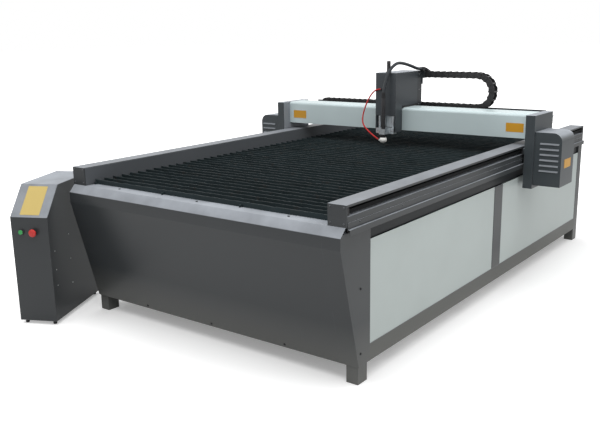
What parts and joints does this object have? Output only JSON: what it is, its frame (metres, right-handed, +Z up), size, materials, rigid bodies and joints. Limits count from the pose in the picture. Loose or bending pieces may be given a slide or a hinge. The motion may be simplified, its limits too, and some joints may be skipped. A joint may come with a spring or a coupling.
{
  "type": "cnc cutting machine",
  "caption": "Flatbed plasma cutting table with a slatted bed, a rack-driven gantry on side beams, a torch head with drag chain and a free-standing control cabinet.",
  "frame": {"origin": "on the floor, at the middle of the rectangle of the four legs' anchor holes", "axes": "+X across the table to the right as seen by the operator, +Y along the side beams to the back, +Z up"},
  "size_m": [2.3284, 3.2763, 1.281],
  "materials": {
    "grey_paint": "satin grey coat with a fine texture",
    "white_paint": "satin pale grey-white coat",
    "bed_steel": "dark scale with scorched top edges",
    "rail_steel": "ground guide steel",
    "gear_steel": "oiled machined steel",
    "zinc": "zinc plated",
    "aluminium": "machined",
    "motor_black": "black motor enamel",
    "chain_plastic": "moulded black",
    "black_plastic": "moulded black",
    "black_rubber": "matt",
    "cap_white": "heat-proof, lightly scorched",
    "lead_rubber": "dark blue-grey jacket",
    "hose_red": "smooth air hose",
    "amber": "blank amber plate",
    "yellow": "blank yellow plate",
    "green_plastic": "push button",
    "red_plastic": "mushroom button",
    "drive_grey": "moulded drive housings"
  },
  "bodies": {
    "table": {"frame_posts": "grey_paint", "frame_rails": "grey_paint", "cross_bearers": "grey_paint", "frame_panels": "white_paint", "front_apron": "grey_paint", "apron_cheeks": "grey_paint", "side_beams": "grey_paint", "beam_covers": "grey_paint", "beam_end_plates": "grey_paint", "side_rails": "rail_steel", "rail_stops": "black_rubber", "side_racks": "gear_steel", "rack_guards": "grey_paint", "slat_combs": "bed_steel", "bed_slats": "bed_steel", "slag_trays": "bed_steel", "panel_screws": "zinc", "cabinet_case": "grey_paint", "cabinet_front": "grey_paint", "cabinet_feet": "black_rubber", "cabinet_plate": "yellow", "button_collars": "black_plastic", "mounting_plate": "zinc", "drive_modules": "drive_grey", "door_hinges": "zinc"},
    "gantry": {"gantry_uprights": "grey_paint", "side_blocks": "rail_steel", "gantry_beam": "grey_paint", "beam_hood": "white_paint", "cross_rails": "rail_steel", "cross_rack": "gear_steel", "side_motors": "motor_black", "motor_covers": "grey_paint", "blank_plates": "amber", "chain_tray": "grey_paint", "chain_lower_run": "chain_plastic"},
    "left_pinion": {"left_pinion": "gear_steel"},
    "right_pinion": {"right_pinion": "gear_steel"},
    "cross_pinion": {"cross_pinion": "gear_steel"},
    "chain_bend": {"chain_bend": "chain_plastic"},
    "carriage": {"head_saddle": "grey_paint", "cross_blocks": "rail_steel", "cross_motor": "motor_black", "head_housing": "grey_paint", "lift_motor": "motor_black", "chain_upper_run": "chain_plastic", "head_connectors": "black_plastic"},
    "lift_screw": {"lift_screw": "rail_steel"},
    "lift": {"lift_rods": "rail_steel", "lift_crosshead": "aluminium", "torch_clamp": "aluminium", "torch_barrel": "black_plastic", "torch_cap": "cap_white", "torch_lead": "lead_rubber", "red_hose": "hose_red"},
    "door": {"cabinet_door": "grey_paint"},
    "door_lock": {"door_lock": "zinc"},
    "start_button": {"start_button": "green_plastic"},
    "stop_button": {"stop_button": "red_plastic"}
  },
  "joints": [
    {"name": "gantry_travel", "type": "slide", "parent": "table", "child": "gantry", "axis": [0, 1, 0], "range_m": [-1.5, 0.85]},
    {"name": "left_drive", "type": "hinge", "parent": "gantry", "child": "left_pinion", "pos_m": [-0.85, 0.385, 0.674], "axis": [1, 0, 0], "continuous": true},
    {"name": "right_drive", "type": "hinge", "parent": "gantry", "child": "right_pinion", "pos_m": [0.85, 0.385, 0.674], "axis": [1, 0, 0], "continuous": true},
    {"name": "head_travel", "type": "slide", "parent": "gantry", "child": "carriage", "axis": [1, 0, 0], "range_m": [-0.62, 0.68], "deforming": ["chain_upper_run", "chain_lower_run"]},
    {"name": "cross_drive", "type": "hinge", "parent": "carriage", "child": "cross_pinion", "pos_m": [-0.0375, 0.537, 0.95], "axis": [0, 0, 1], "continuous": true},
    {"name": "chain_roll", "type": "slide", "parent": "gantry", "child": "chain_bend", "axis": [1, 0, 0], "range_m": [-0.31, 0.34]},
    {"name": "torch_lift", "type": "slide", "parent": "carriage", "child": "lift", "axis": [0, 0, 1], "range_m": [-0.03, 0.06], "deforming": ["torch_lead", "red_hose"]},
    {"name": "screw_turn", "type": "hinge", "parent": "carriage", "child": "lift_screw", "pos_m": [-0.0375, 0.288, 1.05], "axis": [0, 0, 1], "continuous": true},
    {"name": "start_press", "type": "slide", "parent": "table", "child": "start_button", "axis": [-0.4415, 0.8973, 0], "range_m": [0, 0.005], "stiffness_N_per_m": 800},
    {"name": "stop_press", "type": "slide", "parent": "table", "child": "stop_button", "axis": [-0.4415, 0.8973, 0], "range_m": [0, 0.005]},
    {"name": "door_swing", "type": "hinge", "parent": "table", "child": "door", "pos_m": [-1.24338, -1.37123, 0.371], "axis": [0, 0, 1], "range_deg": [0, 110]},
    {"name": "lock_turn", "type": "hinge", "parent": "door", "child": "door_lock", "pos_m": [-1.08411, -1.29287, 0.37], "axis": [0.4415, -0.8973, 0], "range_deg": [0, 90]}
  ],
  "couplings": [
    {"joint": "left_drive", "follows": "gantry_travel", "rad_per_m": 50},
    {"joint": "right_drive", "follows": "gantry_travel", "rad_per_m": 50},
    {"joint": "cross_drive", "follows": "head_travel", "rad_per_m": -50},
    {"joint": "chain_roll", "follows": "head_travel", "ratio": 0.5},
    {"joint": "screw_turn", "follows": "torch_lift", "rad_per_m": -628.32}
  ]
}
